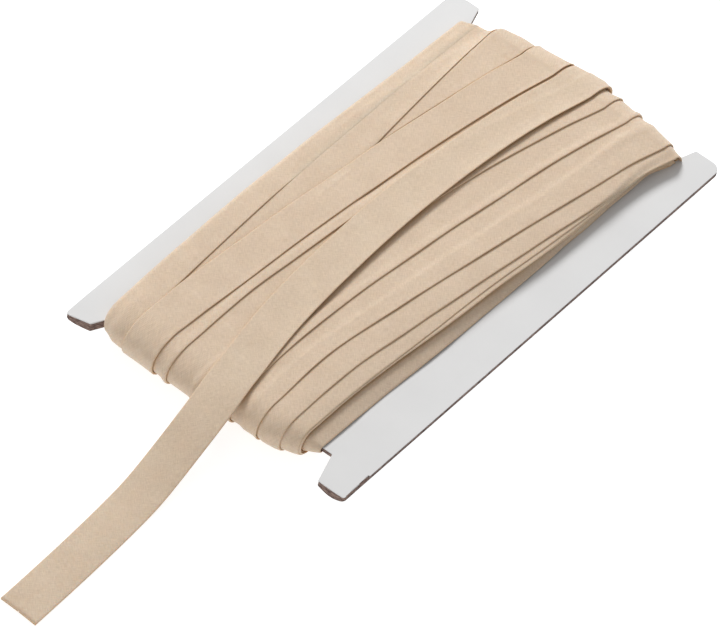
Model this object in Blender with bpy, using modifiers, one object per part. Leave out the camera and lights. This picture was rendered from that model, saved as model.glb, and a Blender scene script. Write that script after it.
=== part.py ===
"""Bias binding wound on a card.

A folded cotton tape is wound flat and lengthwise round the waist of an H-shaped card. The wound laps
are one solid with a slot for the card, and the last turn is a loose sheet that lies across the laps,
leaves them over the near end and droops to the surface that the winding rests on.

X runs across the card, -Y towards the near end, where the loose end leaves, and Z up. The origin is
on the resting surface, under the middle of the card. Lengths are in metres, and the tables are in
millimetres.
"""
import math

import bmesh
import bpy
from mathutils import Vector

MM = 0.001

# Driving dimensions
TAPE_WIDTH = 20.0 * MM
LOOSE_THICK = 1.2 * MM
CARD_WIDTH = 152.0 * MM
CARD_LENGTH = 262.0 * MM
CARD_THICK = 2.4 * MM
NOTCH_DEPTH = 15.3 * MM
NOTCH_HALF_ROOT = 56.7 * MM
NOTCH_HALF_MOUTH = 61.6 * MM
CORNER_RADIUS = 2.5 * MM
NOTCH_RADIUS = 0.6 * MM
CORNER_STEPS = 4
CARD_GAP = 0.3 * MM
LOOSE_GAP = 0.3 * MM

# The near left tip is drawn out past the card's length, and its notch is a little wider
LEFT_TIP = (-76.9 * MM, -134.2 * MM)
LEFT_TIP_MOUTH = (-65.0 * MM, -131.0 * MM)

# The near tips of the card: the board has swollen and split there and its lower ply hangs down
TIP_SPLIT_LENGTH = 14.0 * MM
TIP_SPLIT_DROP = 1.8 * MM
TIP_SPLIT_CUTS = 4

# Mesh points nearer than this are one
SAME_POINT = 0.01 * MM

# The slot in the winding is square: it is full in each direction before the way out points there
SLOT_FULL_ALONG = 2.0
SLOT_FULL_UP = 1.5

# How thick the winding is under the card, where it is pressed flat
UNDER_THICK = 9.4 * MM
CARD_Z = CARD_THICK / 2 + UNDER_THICK
NOTCH_Y = CARD_LENGTH / 2 - NOTCH_DEPTH

# Past the card's end and under the card the winding is pushed in to fit the notch: what would lie
# between PUSHED_FROM and WIDEST lies between PUSHED_FROM and WRAP_HALF there
PUSHED_FROM = 52.0
WRAP_HALF = 56.1
WIDEST = 63.0

# The laps from left to right. Each has its right edge at the far end, at a third and two thirds of the
# way and at the near end, its height where it comes out from under its left neighbour and at its right
# edge, and how much lower it is at the far end.
LAP_COLUMNS = ("name", "far", "far_third", "near_third", "near", "left_height", "height", "far_drop")
LAPS = (
    ("left lap", -53.0, -51.9, -50.3, -48.5, 8.9, 9.6, 3.0),
    ("lap left of the crown", -26.0, -36.7, -43.2, -47.4, 9.0, 9.5, 0.9),
    ("crown lap", -9.0, -19.2, -25.4, -29.6, 10.4, 10.9, 0.8),
    ("lap beside the crown", -7.9, -14.5, -19.5, -23.4, 9.8, 10.2, 0.3),
    ("lap under the loose end", 20.0, 4.6, -4.0, -9.1, 9.6, 10.2, 0.0),
    ("lap right of the loose end", 32.0, 20.8, 12.4, 11.2, 9.2, 10.1, 0.0),
    ("wide right lap", 54.2, 40.8, 29.6, 25.0, 9.2, 9.6, 0.0),
    ("right lap", 58.0, 49.9, 41.2, 36.2, 8.5, 8.6, 0.0),
    ("top lap of the right flank", 59.2, 53.6, 48.6, 44.8, 7.4, 7.5, 0.0),
)
# The far drop fades out at this share of the way, and the left flank is this share lower there
FAR_DROP_ENDS = 0.4
FAR_FLANK_LOWER = 0.3

# The flanks, from the card's face up on the left, and from the top lap down on the right, with the same
# places along the card
FLANK_COLUMNS = ("name", "far", "far_third", "near_third", "near", "height")
LEFT_FLANK = (
    ("lowest lap", -56.1, -59.4, -60.4, -57.2, 0.8),
    ("middle laps", -57.6, -61.4, -62.5, -60.2, 3.8),
    ("under the top lap", -58.4, -61.8, -62.9, -61.4, 6.9),
)
RIGHT_FLANK = (
    ("under the top lap", 59.4, 53.7, 48.8, 45.2, 6.2),
    ("recess", 57.8, 52.4, 46.8, 43.4, 4.7),
    ("middle of the lowest lap", 57.2, 54.0, 51.2, 48.4, 3.2),
    ("edge of the lowest lap", 56.1, 54.6, 54.2, 51.8, 0.9),
)

# A lap is a little higher in its middle, and steps down at its right edge
LAP_CROWN = 0.15
LAP_EDGE_RUN = 0.25
LAP_EDGE_SHARE = 1 / 3
LAP_MIN_WIDTH = 0.9

# How many times further than above the card the winding reaches past each end of it, by the place across
REACH_COLUMNS = ("place", "far", "near")
END_REACH = (
    (-62.0, 0.55, 1.15),
    (-50.0, 0.80, 1.22),
    (-42.0, 1.10, 1.26),
    (-22.0, 1.20, 1.28),
    (-8.0, 1.28, 1.22),
    (12.0, 1.30, 1.12),
    (22.0, 1.26, 1.08),
    (34.0, 1.08, 1.06),
    (46.0, 0.94, 0.92),
    (60.0, 0.82, 0.80),
)

# Steps along the winding
TOP_STEPS = 15
WRAP_STEPS = 8
UNDER_STEPS = 6
# A slow unevenness of the laps, in height, along the card
WAVE_HEIGHT = 0.12
WAVE_LENGTH = 83.0

# The loose end's middle line on the laps: how far along the card, and its place across it
LOOSE_FAR_ANGLE = math.radians(-40)
LOOSE_WRAP_STEPS = 9
LOOSE_BED = 10.35 * MM
LOOSE_FAR_DRIFT = 0.2
LOOSE_ON_LAPS = (
    (115.7, 4.0),
    (77.1, -3.2),
    (38.6, -6.6),
    (0.0, -7.7),
    (-38.6, -6.6),
    (-77.1, -3.5),
    (-100.0, 0.4),
)
# The same for its free part, with how far it has dropped from where it lay on the laps
LOOSE_FREE = (
    (-115.7, 2.6, 0.0),
    (-121.6, 3.6, -0.3),
    (-129.2, 4.7, -1.5),
    (-136.8, 5.6, -4.1),
    (-144.4, 6.1, -6.8),
    (-152.0, 6.4, -9.7),
    (-167.2, 7.0, -15.8),
    (-182.4, 7.7, -20.1),
    (-197.6, 8.6, -22.0),
    (-212.8, 9.5, -22.5),
    (-230.0, 10.3, -22.5),
    (-246.0, 10.8, -22.5),
    (-262.0, 10.9, -22.5),
)

# Colours and roughness
CARD_COLOUR = (0.80, 0.80, 0.80)
CARD_ROUGHNESS = 0.75
TAPE_COLOUR = (0.63, 0.50, 0.36)
TAPE_ROUGHNESS = 0.9


def clear_scene():
    for thing in list(bpy.data.objects):
        bpy.data.objects.remove(thing, do_unlink=True)


def make_collection(name):
    collection = bpy.data.collections.new(name)
    bpy.context.scene.collection.children.link(collection)
    return collection


def make_material(name, colour, roughness):
    material = bpy.data.materials.new(name)
    material.use_nodes = True
    shader = material.node_tree.nodes["Principled BSDF"]
    shader.inputs["Base Color"].default_value = (*colour, 1.0)
    shader.inputs["Roughness"].default_value = roughness
    shader.inputs["Metallic"].default_value = 0.0
    return material


def mesh_object(name, mesh_data, material, collection):
    thing = bpy.data.objects.new(name, mesh_data)
    thing.data.materials.append(material)
    collection.objects.link(thing)
    return thing


def smooth_through(values, t):
    """A smooth curve through evenly spaced values, for t from 0 to 1."""
    last = len(values) - 1
    place = min(max(t, 0.0), 1.0) * last
    i = min(int(place), last - 1)
    f = place - i
    a, b = values[i], values[i + 1]
    slope_a = (b - values[i - 1]) / 2 if i > 0 else b - a
    slope_b = (values[i + 2] - a) / 2 if i + 2 <= last else b - a
    h1 = 2 * f**3 - 3 * f**2 + 1
    h2 = f**3 - 2 * f**2 + f
    return h1 * a + h2 * slope_a + (1 - h1) * b + (f**3 - f**2) * slope_b


def rounded_outline(corners):
    """Corner points with a radius each, in order, as one outline with its arcs."""
    outline = []
    count = len(corners)
    for i, (x, y, radius) in enumerate(corners):
        here = Vector((x, y))
        before = (Vector(corners[i - 1][:2]) - here).normalized()
        after = (Vector(corners[(i + 1) % count][:2]) - here).normalized()
        half = before.angle(after) / 2
        centre = here + (before + after).normalized() * radius / math.sin(half)
        first = here + before * radius / math.tan(half) - centre
        last = here + after * radius / math.tan(half) - centre
        for k in range(CORNER_STEPS + 1):
            blend = k / CORNER_STEPS
            outline.append(centre + first.slerp(last, blend) * first.length)
    return outline


def card_outline():
    half_width, half_length = CARD_WIDTH / 2, CARD_LENGTH / 2
    quarter = (
        (NOTCH_HALF_ROOT, NOTCH_Y, NOTCH_RADIUS),
        (NOTCH_HALF_MOUTH, half_length, NOTCH_RADIUS),
        (half_width, half_length, CORNER_RADIUS),
    )
    far_right = list(quarter)
    near_right = [(x, -y, r) for x, y, r in reversed(quarter)]
    near_left = [
        (-NOTCH_HALF_ROOT, -NOTCH_Y, NOTCH_RADIUS),
        (*LEFT_TIP_MOUTH, NOTCH_RADIUS),
        (*LEFT_TIP, CORNER_RADIUS),
    ]
    far_left = [(-x, y, r) for x, y, r in reversed(quarter)]
    return rounded_outline(far_right + near_right + near_left + far_left)


def build_card(material, collection):
    """The board: a flat outline with thickness, whose lower ply hangs down at the near tips."""
    curve = bpy.data.curves.new("card_outline", "CURVE")
    curve.dimensions = "2D"
    curve.fill_mode = "BOTH"
    curve.extrude = CARD_THICK / 2
    spline = curve.splines.new("POLY")
    outline = card_outline()
    spline.points.add(len(outline) - 1)
    for point, place in zip(spline.points, outline):
        point.co = (place.x, place.y, 0.0, 1.0)
    spline.use_cyclic_u = True
    flat = bpy.data.objects.new("card_flat", curve)
    collection.objects.link(flat)
    flat.location.z = CARD_Z
    depsgraph = bpy.context.evaluated_depsgraph_get()
    solid = bpy.data.meshes.new_from_object(flat.evaluated_get(depsgraph))
    bpy.data.objects.remove(flat, do_unlink=True)

    bm = bmesh.new()
    bm.from_mesh(solid)
    bmesh.ops.remove_doubles(bm, verts=bm.verts, dist=SAME_POINT)
    split_start = -CARD_LENGTH / 2 + TIP_SPLIT_LENGTH
    for cut in range(TIP_SPLIT_CUTS):
        cut_y = split_start - TIP_SPLIT_LENGTH * cut / TIP_SPLIT_CUTS
        cut_at = {"plane_co": (0, cut_y, 0), "plane_no": (0, 1, 0), "dist": SAME_POINT}
        bmesh.ops.bisect_plane(bm, geom=[*bm.verts, *bm.edges, *bm.faces], **cut_at)
    for vert in bm.verts:
        reach = max(0.0, (split_start - vert.co.y) / TIP_SPLIT_LENGTH)
        if vert.co.z < 0:
            vert.co.z -= TIP_SPLIT_DROP * reach**2
    bmesh.ops.translate(bm, verts=bm.verts, vec=(0, 0, CARD_Z))
    bmesh.ops.triangulate(bm, faces=bm.faces)
    bmesh.ops.recalc_face_normals(bm, faces=bm.faces)
    bm.to_mesh(solid)
    bm.free()
    solid.materials.clear()
    return mesh_object("card", solid, material, collection)


def place_at(row, t):
    """A row's place across, for t from 0 (far end) to 1 (near end)."""
    return smooth_through((row["far"], row["far_third"], row["near_third"], row["near"]), t)


def flank_points(table, columns, t):
    rows = [dict(zip(columns, values)) for values in table]
    return [(place_at(row, t), row["height"]) for row in rows]


def section(t, y):
    """Points across the winding, from left to right, as place and height over the card's face."""
    wave = WAVE_HEIGHT * math.sin(2 * math.pi * y / WAVE_LENGTH)
    far_share = max(0.0, 1 - t / FAR_DROP_ENDS) ** 2
    points = flank_points(LEFT_FLANK, FLANK_COLUMNS, t)
    points = [(x, height * (1 - far_share * FAR_FLANK_LOWER)) for x, height in points]
    left = points[-1][0]
    for values in LAPS:
        lap = dict(zip(LAP_COLUMNS, values))
        right = max(place_at(lap, t), left + LAP_MIN_WIDTH)
        width = right - left
        run = min(LAP_EDGE_RUN, width * LAP_EDGE_SHARE)
        crown = LAP_CROWN * min(1.0, width / (TAPE_WIDTH / MM))
        lowered = lap["far_drop"] * far_share - wave * left / WRAP_HALF
        middle = (lap["left_height"] + lap["height"]) / 2 + crown
        points.append((left + run, lap["left_height"] - lowered))
        points.append(((left + right) / 2, middle - lowered))
        points.append((right - run, lap["height"] - lowered))
        left = right
    return points + flank_points(RIGHT_FLANK, FLANK_COLUMNS, t)


def end_reach(place, far):
    """How many times further than above the card the winding reaches at an end, at that place."""
    column = REACH_COLUMNS.index("far" if far else "near")
    for row, following in zip(END_REACH, END_REACH[1:]):
        if place <= following[0]:
            break
    share = min(1.0, max(0.0, (place - row[0]) / (following[0] - row[0])))
    return row[column] + (following[column] - row[column]) * share


def pushed_in(place, out_z):
    """A place across, pushed into the notch's width except above the card."""
    beyond = max(0.0, abs(place) - PUSHED_FROM)
    too_far = beyond * (WIDEST - WRAP_HALF) / (WIDEST - PUSHED_FROM)
    return place - math.copysign(too_far * (1 - max(0.0, out_z)), place)


def loop_stations():
    """Stations round the winding: along the top, the near end, underneath and the far end."""
    stations = []
    for k in range(TOP_STEPS):
        t = k / TOP_STEPS
        stations.append((t, NOTCH_Y * (1 - 2 * t), math.pi / 2))
    for k in range(WRAP_STEPS):
        stations.append((1.0, -NOTCH_Y, math.pi / 2 + math.pi * k / WRAP_STEPS))
    for k in range(UNDER_STEPS):
        t = 1 - k / UNDER_STEPS
        stations.append((t, NOTCH_Y * (1 - 2 * t), -math.pi / 2))
    for k in range(WRAP_STEPS):
        stations.append((0.0, NOTCH_Y, -math.pi / 2 + math.pi * k / WRAP_STEPS))
    return stations


def slot_point(y, out_y, out_z):
    """The slot for the card on the way out from the card's end: a little clear of it all round."""
    along = max(-1.0, min(1.0, out_y * SLOT_FULL_ALONG))
    up = max(-1.0, min(1.0, out_z * SLOT_FULL_UP))
    return y + CARD_GAP * along, CARD_Z + (CARD_THICK / 2 + CARD_GAP) * up


def build_winding(material, collection):
    """The wound laps: sections of unlike outline lofted round the card, with a slot for it."""
    bm = bmesh.new()
    rings = []
    for t, y, angle in loop_stations():
        out_y, out_z = math.cos(angle), math.sin(angle)
        ring = []
        points = section(t, y / MM)
        for place, height in points:
            reach = CARD_THICK / 2 + height * MM
            x = pushed_in(place, out_z) * MM
            z = max(CARD_Z + reach * out_z, 0.0)
            ring.append(bm.verts.new((x, y + reach * out_y * end_reach(place, y > 0), z)))
        slot_y, slot_z = slot_point(y, out_y, out_z)
        for place in (points[-1][0], points[0][0]):
            ring.append(bm.verts.new((pushed_in(place, out_z) * MM, slot_y, slot_z)))
        rings.append(ring)
    for ring, following in zip(rings, rings[1:] + rings[:1]):
        for i in range(len(ring)):
            j = (i + 1) % len(ring)
            bm.faces.new((ring[i], following[i], following[j], ring[j]))
    bmesh.ops.triangulate(bm, faces=bm.faces)
    bmesh.ops.recalc_face_normals(bm, faces=bm.faces)
    mesh_data = bpy.data.meshes.new("winding")
    bm.to_mesh(mesh_data)
    bm.free()
    return mesh_object("winding", mesh_data, material, collection)


def loose_route():
    """The underside of the loose end: its middle line from under the far end to its cut end."""
    bed = CARD_THICK / 2 + LOOSE_BED + LOOSE_GAP
    far_y, far_place = LOOSE_ON_LAPS[0]
    reach = bed * end_reach(far_place, True)
    route = []
    for k in range(LOOSE_WRAP_STEPS):
        angle = LOOSE_FAR_ANGLE + (math.pi / 2 - LOOSE_FAR_ANGLE) * k / LOOSE_WRAP_STEPS
        x = far_place * MM + LOOSE_FAR_DRIFT * bed * (math.pi / 2 - angle)
        y = far_y * MM + reach * math.cos(angle)
        route.append(Vector((x, y, CARD_Z + bed * math.sin(angle))))
    for along, across in LOOSE_ON_LAPS:
        route.append(Vector((across * MM, along * MM, CARD_Z + bed)))
    for along, across, drop in LOOSE_FREE:
        route.append(Vector((across * MM, along * MM, max(CARD_Z + bed + drop * MM, 0.0))))
    return route


def build_loose_end(material, collection):
    """The last turn: an open strip along its route, made solid on its upper side."""
    route = loose_route()
    bm = bmesh.new()
    rows = []
    for i, middle in enumerate(route):
        before = route[max(i - 1, 0)]
        after = route[min(i + 1, len(route) - 1)]
        forward = (after - before).normalized()
        side = Vector((1, 0, 0)) - forward * forward.x
        if middle.y < -NOTCH_Y:
            side = Vector((-forward.y, forward.x, 0))
        side.normalize()
        rows.append([bm.verts.new(middle + side * TAPE_WIDTH * share) for share in (-0.5, 0.0, 0.5)])
    for row, following in zip(rows, rows[1:]):
        for i in range(len(row) - 1):
            bm.faces.new((row[i], following[i], following[i + 1], row[i + 1]))
    mesh_data = bpy.data.meshes.new("loose_end")
    bm.to_mesh(mesh_data)
    bm.free()
    thing = mesh_object("loose_end", mesh_data, material, collection)
    solid = thing.modifiers.new("thickness", "SOLIDIFY")
    solid.thickness = LOOSE_THICK
    solid.offset = 1.0
    return thing


def main():
    clear_scene()
    collection = make_collection("bias_binding_on_card")
    board = make_material("board", CARD_COLOUR, CARD_ROUGHNESS)
    cotton = make_material("cotton", TAPE_COLOUR, TAPE_ROUGHNESS)
    build_card(board, collection)
    build_winding(cotton, collection)
    build_loose_end(cotton, collection)


main()
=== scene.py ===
import math

import bmesh
import bpy
import numpy as np
from mathutils import Matrix, Vector, noise


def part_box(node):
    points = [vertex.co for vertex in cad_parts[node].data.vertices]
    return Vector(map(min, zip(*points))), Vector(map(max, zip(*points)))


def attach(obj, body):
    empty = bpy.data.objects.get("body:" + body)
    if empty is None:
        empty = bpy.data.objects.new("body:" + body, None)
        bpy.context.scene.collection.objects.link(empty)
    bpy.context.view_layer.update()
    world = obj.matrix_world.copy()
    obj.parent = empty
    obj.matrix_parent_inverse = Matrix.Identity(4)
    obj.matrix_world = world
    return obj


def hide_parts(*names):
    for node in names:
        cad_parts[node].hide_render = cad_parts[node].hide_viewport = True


# Bias binding wound on a card. Every lap is its own closed strip with folded edges, laid over what is
# beneath it in the order in which it was wound. Tables are in millimetres, all else is in metres.

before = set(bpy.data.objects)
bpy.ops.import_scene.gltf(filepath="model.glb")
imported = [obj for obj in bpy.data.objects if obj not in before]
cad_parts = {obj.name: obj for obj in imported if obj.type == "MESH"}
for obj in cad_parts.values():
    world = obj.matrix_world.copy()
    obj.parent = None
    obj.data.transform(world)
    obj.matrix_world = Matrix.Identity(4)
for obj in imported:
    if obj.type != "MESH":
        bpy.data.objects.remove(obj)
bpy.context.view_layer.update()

MM = 0.001
SEED = 7

# The card, from the frame
CARD_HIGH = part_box("card")[1]
CARD_THICK = 2.4 * MM
CARD_TOP = CARD_HIGH[2]
CARD_MID = CARD_TOP - CARD_THICK / 2
CARD_BOTTOM = CARD_MID - CARD_THICK / 2
HALF_WIDTH = CARD_HIGH[0]
HALF_LENGTH = CARD_HIGH[1]
NOTCH_DEPTH = 15.3 * MM
NOTCH_ROOT = 56.7 * MM
NOTCH_MOUTH = 61.6 * MM
NOTCH_Y = HALF_LENGTH - NOTCH_DEPTH

# The tape: one cotton layer with both edges folded in to its middle
TAPE_WIDTH = 20.0 * MM
LAP_THICK = 0.84 * MM
PACKED_THICK = 0.80 * MM
EDGE_ROUND = 0.5 * MM
RIPPLE = 0.06 * MM
WIDTH_VARIES = 0.008
# How far a lap's edges wander, and how far along the tape its weave may start
WANDERS = 0.12 * MM
WEAVE_SHIFT = 50.0 * MM
# Waves by which things vary round the loop: their fewest turns, the number that their turns stay below,
# and how much more that is for each further wave
FEWEST_TURNS = 2
TURNS_BELOW = 9
MORE_TURNS = 4

# Stations round the winding, and the grid across it that holds the height of what is wound so far
TOP_STEPS = 66
WRAP_STEPS = 18
UNDER_STEPS = 30
MEAN_HEIGHT = 6.0 * MM
GRID_STEP = 0.25 * MM
GRID_HALF = 66.0 * MM
GRID = np.arange(-GRID_HALF, GRID_HALF + GRID_STEP / 2, GRID_STEP)

# Right edges of the laps, from left to right, from the far end to the near end in six even steps. The
# first two are the left edges of the left flank's outermost and innermost laps, and crown_left is one too
EDGES = {
    "flank_outer": (-61.2, -61.0, -61.8, -62.4, -62.7, -62.2, -61.7),
    "flank_inner": (-57.2, -58.2, -59.6, -60.3, -60.4, -59.6, -57.4),
    "left_lap": (-53.0, -52.4, -51.9, -51.4, -50.3, -48.4, -46.0),
    "next_left_lap": (-44.9, -42.2, -39.0, -35.0, -34.0, -34.0, -34.0),
    "wedge": (-26.8, -32.2, -37.05, -40.4, -43.8, -46.5, -48.2),
    "crown_left": (-26.0, -31.7, -36.7, -40.0, -43.2, -46.1, -47.5),
    "crown": (-8.0, -14.4, -19.2, -22.5, -25.4, -27.4, -30.0),
    "beside_crown": (-6.6, -12.0, -14.5, -16.8, -19.5, -22.2, -22.3),
    "under_loose": (20.5, 11.7, 4.6, -0.6, -4.0, -6.4, -5.0),
    "right_of_loose": (33.0, 25.8, 20.8, 16.1, 12.4, 10.6, 11.2),
    "wide_right": (52.8, 47.0, 40.9, 35.0, 29.6, 24.9, 25.4),
    "right": (57.5, 54.8, 50.2, 45.4, 41.1, 37.0, 36.6),
    "over_flank": (56.4, 55.1, 52.6, 49.4, 47.4, 45.0, 44.3),
    "flank_top": (55.6, 55.3, 54.3, 51.2, 48.6, 45.6, 44.8),
    "lowest": (54.5, 54.8, 55.2, 54.7, 54.2, 52.4, 51.6),
}
# Four edges bend outwards close to the far end: by how much, and from how far along the card
FLARES = {
    "wide_right": (1.5, 95.0),
    "right": (3.2, 95.0),
    "flank_top": (3.4, 101.0),
    "lowest": (5.0, 102.0),
}
FLARE_POWER = 1.4
# How far the right edges of the top laps stand off what is beneath them
LIFTS = {
    "right": 0.15,
    "wide_right": 0.25,
    "right_of_loose": 0.25,
    "under_loose": 0.15,
    "beside_crown": 0.2,
    "crown": 0.2,
}
EDGE_LIFT_WIDTH = 2.0 * MM

# The laps of the right flank, lowest first, in two tables: those under the lap that rises from the card,
# and those over it. Share is how far the edge is from the lowest lap's edge to the top one's. It draws
# back where the flank stands open, and wanders. The lap is held up to a height, and its edge droops
FLANK_COLUMNS = ("share", "draws_back", "wanders", "held", "droops")
FLANK_UNDER = (
    (0.00, 3.0, 0.20, 0.0, 0.0),
    (0.30, 3.5, 0.20, 0.0, 0.0),
    (0.62, 3.0, 0.30, 0.0, 0.0),
    (0.90, 2.5, 0.30, 0.0, 0.0),
)
FLANK_OVER = (
    (0.97, 2.6, 0.30, 5.0, 0.8),
    (1.00, 0.9, 0.20, 5.9, 1.1),
    (1.00, 0.0, 0.12, 6.8, 1.3),
)
FLANK_OPEN = 4.0 * MM
DROOP_WIDTH = 17.0 * MM
# The lowest lap that shows rises from the card to the recess under the top ones
RAMP_HEIGHT = 3.3 * MM
RAMP_BEYOND = 2.0 * MM
RAMP_LIFT = 0.5 * MM
RAMP_WANDERS = 0.10 * MM
# The laps over the right flank: a thin one, one that is held up and droops, and one that is wider than
# what shows of it by this much
OVER_THICK = 0.55 * MM
RIGHT_HELD = 6.9 * MM
RIGHT_DROOPS = 1.0 * MM
SPARE_WIDTH = 2.5 * MM

# The laps of the left flank: how many, their thickness from the far end to the near end, how far they
# wander, and how unevenly they are stacked
LEFT_LAPS = 8
LEFT_THICK = (0.58, 0.78, 0.86, 0.88, 0.88, 0.88, 0.88)
LEFT_WANDERS = 0.15 * MM
LEFT_UNEVEN = 0.5 * MM
FLANK_INSET = 0.9 * MM
# The two laps over the left shoulder: how round it is, and how far each of them reaches down
SHOULDER_ROUND = 2.6 * MM
SHOULDER_LEAST = 0.3 * MM
SHOULDER_POINTS = 24
LEFT_DOWN = 3.0 * MM
NEXT_LEFT_DOWN = 2.5 * MM
WEDGE_CLEAR = 2.0 * MM
# Where the left lap's step down to the next one fades out: from there on it lies flush in the next one,
# thinner towards its edge, and the next one is as much thinner under it
FLUSH_FROM = -34.0 * MM
FLUSH_TO = -4.0 * MM
FLUSH_WIDTH = 4.0 * MM
FLUSH_LEAST = 0.08

# The hidden core that the laps lie on: its left side, and its steps. Each step ends a tape's width and a
# little more to the left of a lap's right edge, and none reaches the left edges of the flank's laps
CORE_LEFT = (-44.8, -43.0, -40.5, -38.0, -38.0, -38.0, -38.0)
CORE_MARGIN = 1.5 * MM
FLANK_MARGIN = 0.5 * MM
CORE_COLUMNS = ("edge", "stands_back", "height")
CORE_STEPS = (
    ("flank_top", 8.0, 7.1),
    ("right", 1.0, 8.1),
    ("wide_right", 1.0, 8.2),
    ("right_of_loose", 1.0, 8.4),
    ("under_loose", 1.0, 7.8),
)
# The core's own mesh, which closes off what little shows between the laps
CORE_POINTS = 8
CORE_BEYOND = 6.0 * MM
CORE_HEIGHT = 3.6 * MM
CORE_LEAST = 0.3 * MM

# How much further a lap reaches beyond the card's end than above its face, by its place across
END_REACH_FAR = (
    (-62.0, 0.50),
    (-58.0, 0.52),
    (-54.0, 0.80),
    (-46.0, 0.86),
    (-44.0, 1.22),
    (-34.0, 1.42),
    (-22.0, 1.42),
    (-2.0, 1.64),
    (8.0, 1.60),
    (15.0, 1.30),
    (22.0, 1.46),
    (31.0, 1.30),
    (36.0, 1.14),
    (45.0, 0.98),
    (53.0, 0.84),
    (58.0, 0.76),
)
END_REACH_NEAR = (
    (-62.0, 1.25),
    (-54.0, 1.34),
    (-46.0, 1.37),
    (-38.0, 1.38),
    (-30.0, 1.40),
    (-22.0, 1.46),
    (-8.0, 1.48),
    (10.0, 1.22),
    (18.0, 1.16),
    (23.0, 1.14),
    (28.0, 1.24),
    (34.0, 1.18),
    (42.0, 1.00),
    (47.0, 0.78),
    (57.0, 0.78),
)
# The upper side dips towards both ends, and the underside is pressed by the weight
END_DIP = 0.07
END_DIP_LENGTH = 22.0 * MM
UNDER_SQUEEZE = 0.90
# Each lap's underside lies a hair lower than that of the lap wound before it
FIRST_RANK = 30
CORE_RANK = 40
RANK_STEP = 0.02 * MM

# How a lap lies on what is beneath it: the span that it bridges, and how softly it bends over edges,
# across it in metres and along it and at kinks in steps
BRIDGE_SPAN = 14.0 * MM
EDGE_SOFTNESS = 2.5 * MM
ALONG_SOFTNESS = 2
KINK_SOFTNESS = 3
# Distances in from a folded edge, in millimetres, at which a strip has points, and how many lie between
EDGE_DISTANCES = (0.0, 0.05, 0.17, 0.36, 0.75, 1.5)
INNER_POINTS = 15

# The loose end on the laps
LOOSE_THICK = 0.95 * MM
LOOSE_CLEAR = 0.06 * MM
LOOSE_FAR_ANGLE = math.radians(-40)
LOOSE_LEAVES_Y = -113.0 * MM
LOOSE_POINTS = 33
LOOSE_STIFFNESS = 1.6
LOOSE_SOFTNESS = 3
# Its right edge on the laps, from the far end to the near end, in six even steps
LOOSE_RIGHT = (13.0, 6.8, 3.4, 2.3, 3.4, 6.5, 12.6)
# How far its right edge stands off the laps beneath, at the same places, and how steeply it rises
LOOSE_LIFT = (0.9, 1.3, 1.3, 1.2, 0.9, 0.6, 0.5)
LOOSE_LIFT_SLOPE = 1.6
# Its section: a layer's thickness, the slit where its folded edges meet, the bend of its folds and how
# far inside them the folded edges' upper side starts, and its points
LAYER = 0.36 * MM
SLIT = 0.25 * MM
BEND = 0.42 * MM
INSIDE_BEND = 1.7
BEND_ANGLES = (65.0, 32.5, 0.0, -32.5, -65.0)
SECTION_TOP_POINTS = 25
SECTION_INNER_POINTS = 19
SECTION_FOLD_POINTS = 9
# Its free part: where its middle goes, and how far it has dropped from where it lay on the laps
LOOSE_COLUMNS = ("along", "across", "drop")
LOOSE_FREE = (
    (-115.7, 2.5, 0.0),
    (-121.6, 3.5, -0.3),
    (-129.2, 4.7, -1.5),
    (-136.8, 5.6, -4.1),
    (-144.4, 6.1, -6.8),
    (-152.0, 6.4, -9.7),
    (-159.6, 6.7, -12.8),
    (-167.2, 7.0, -15.8),
    (-174.8, 7.3, -18.4),
    (-182.4, 7.7, -20.4),
    (-197.6, 8.6, -22.4),
    (-212.8, 9.5, -23.6),
    (-230.0, 10.3, -24.0),
    (-246.0, 10.8, -24.0),
    (-265.2, 11.3, -24.0),
)
FREE_STEP = 2.0 * MM
FREE_LEAST = 0.05 * MM
FREE_SMOOTHING = 14
FREE_CROWN = 0.35 * MM
LEAVE_LENGTH = 22.0 * MM
END_CURL = 0.25
END_CURL_LENGTH = 10.0 * MM
CUT_SLANT = 0.068

# The board: its white paper, the rim of its faces, and the rows of points over its cut edge
PAPER = 0.26 * MM
PAPER_LIP = 0.06 * MM
PAPER_ROWS = 2
RIM = 0.09 * MM
EDGE_ROWS = 9
CORNER_STEPS = 6
CREASE_ANGLE = math.radians(38)
# The near left tip is drawn out a little, as in the frame's card
LEFT_TIP = (-76.9, -134.2)
LEFT_TIP_MOUTH = (-65.0, -131.0)
# The near right tip's edge is worn off: over what length, how far in, and how deep and steep
WORN_LENGTH = 17.0 * MM
WORN_WIDTH = 0.7 * MM
WORN_TAPER = 0.25 * MM
WORN_DEPTH = 0.28 * MM
WORN_SLOPE = 0.55
WORN_ABOVE = 0.6
# How upright a face's normal is at most on the cut edge, and at least on the flat faces
EDGE_NORMAL = 0.3
FACE_NORMAL = 0.8
# Cuts of its faces, finer towards the near end. Along the card they are counted from that end, and
# across it from its middle: from where, to where and how far apart
FINE_CUTS = (0.7 * MM, 22.0 * MM, 0.9 * MM)
COARSE_CUTS = (24.0 * MM, 7.0 * MM)
WORN_CUT = 0.02 * MM
ACROSS_CUTS = ((58.0, 74.0, 1.2), (74.1, 75.9, 0.25))
CUT_TOLERANCE = 1e-8
# Its rough core: the grain, and how rough it is in the middle and at the near tips
ROUGH_GRAIN = 1.1 * MM
ROUGH_FINER = 2.3
ROUGH_MIDDLE = 0.07 * MM
ROUGH_TIP = 0.16 * MM
ROUGH_INSET = 0.08 * MM
# The near tips bend down, and have swollen and split underneath
TIP_SAG = 0.35 * MM
RIGHT_TIP_SAG = 0.6
LEFT_SWELL_BEFORE = 3.0 * MM
LEFT_SWELL_RISE = 2.2
LEFT_SWELL = (2.4 * MM, 0.3 * MM)
LEFT_SWELL_TAPER = 0.8
RIGHT_SWELL_BEFORE = 2.0 * MM
RIGHT_SWELL_POWER = 1.5
RIGHT_SWELL = (0.8 * MM, 2.2 * MM)

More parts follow.
